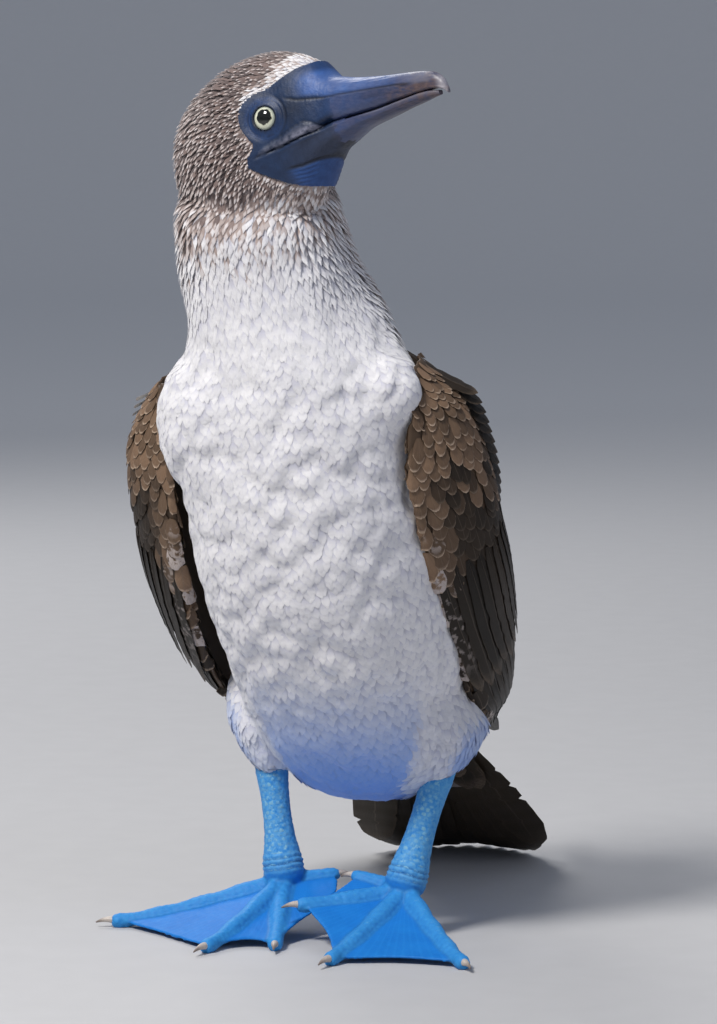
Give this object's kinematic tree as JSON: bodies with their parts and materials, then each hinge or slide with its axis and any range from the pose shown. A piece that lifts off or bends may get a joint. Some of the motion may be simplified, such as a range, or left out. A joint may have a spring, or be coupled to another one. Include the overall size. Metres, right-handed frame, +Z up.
{
  "type": "standing blue-footed booby model",
  "caption": "Life-size blue-footed booby standing upright, head turned to its left, wings folded, long tapered bill, webbed feet and a wedge tail that rests on the floor.",
  "frame": {"origin": "bottom centre of the bird's box, on the floor", "axes": "+Z up; the bird's body faces -Y and its left side is towards +X"},
  "size_m": [0.2324, 0.412, 0.4793],
  "materials": {
    "plumage_white": "white breast, belly and thigh feathers, matt and softly ridged",
    "plumage_brown": "brown head and neck feathers, finely streaked with white, matt",
    "wing_brown": "dark brown wing feathers with pale buff edges on the shoulder",
    "tail_brown": "near-black brown tail feathers",
    "bill_slate": "slate-blue horn, half matt",
    "eye_pale": "pale yellow iris with a dark pupil under a clear wet surface",
    "foot_blue": "bright blue scaly skin and webs, half matt",
    "claw_horn": "pale horn, half matt"
  },
  "bodies": {
    "root": {"head": "plumage_brown", "neck": "plumage_white", "torso": "plumage_white", "thigh_left": "plumage_white", "thigh_right": "plumage_white", "wing_left": "wing_brown", "wing_right": "wing_brown", "tail": "tail_brown", "bill_upper": "bill_slate", "bill_lower": "bill_slate", "eye_left": "eye_pale", "eye_right": "eye_pale", "leg_left": "foot_blue", "leg_right": "foot_blue", "foot_left": "foot_blue", "foot_right": "foot_blue", "claw_hallux_left": "claw_horn", "claw_hallux_right": "claw_horn", "claw_inner_left": "claw_horn", "claw_inner_right": "claw_horn", "claw_middle_left": "claw_horn", "claw_middle_right": "claw_horn", "claw_outer_left": "claw_horn", "claw_outer_right": "claw_horn"}
  },
  "joints": []
}
